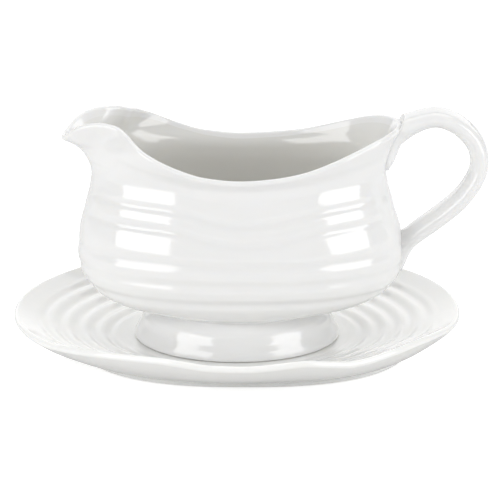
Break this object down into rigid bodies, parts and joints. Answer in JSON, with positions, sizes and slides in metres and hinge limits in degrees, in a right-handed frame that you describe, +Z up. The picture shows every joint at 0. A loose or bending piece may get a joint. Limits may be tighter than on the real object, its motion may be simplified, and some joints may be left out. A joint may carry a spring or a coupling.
{
  "type": "gravy boat with stand",
  "caption": "Oval footed gravy boat with a wavy rim, pulled pouring spout and loop strap handle, standing loose in a shallow ringed stand.",
  "frame": {"origin": "centre of the stand's foot ring, on the table", "axes": "+Z up, +X towards the handle, -X towards the pouring spout, +-Y across the boat"},
  "size_m": [0.244, 0.226, 0.1247],
  "materials": {
    "porcelain_boat": "high gloss clear glaze over white porcelain",
    "porcelain_stand": "high gloss clear glaze over white porcelain"
  },
  "bodies": {
    "stand": {"stand": "porcelain_stand"},
    "boat": {"boat_bowl": "porcelain_boat", "boat_foot": "porcelain_boat", "boat_handle": "porcelain_boat"}
  },
  "joints": [
    {"name": "boat_lift", "type": "slide", "parent": "stand", "child": "boat", "axis": [0, 0, 1], "range_m": [0, 0.15]}
  ]
}
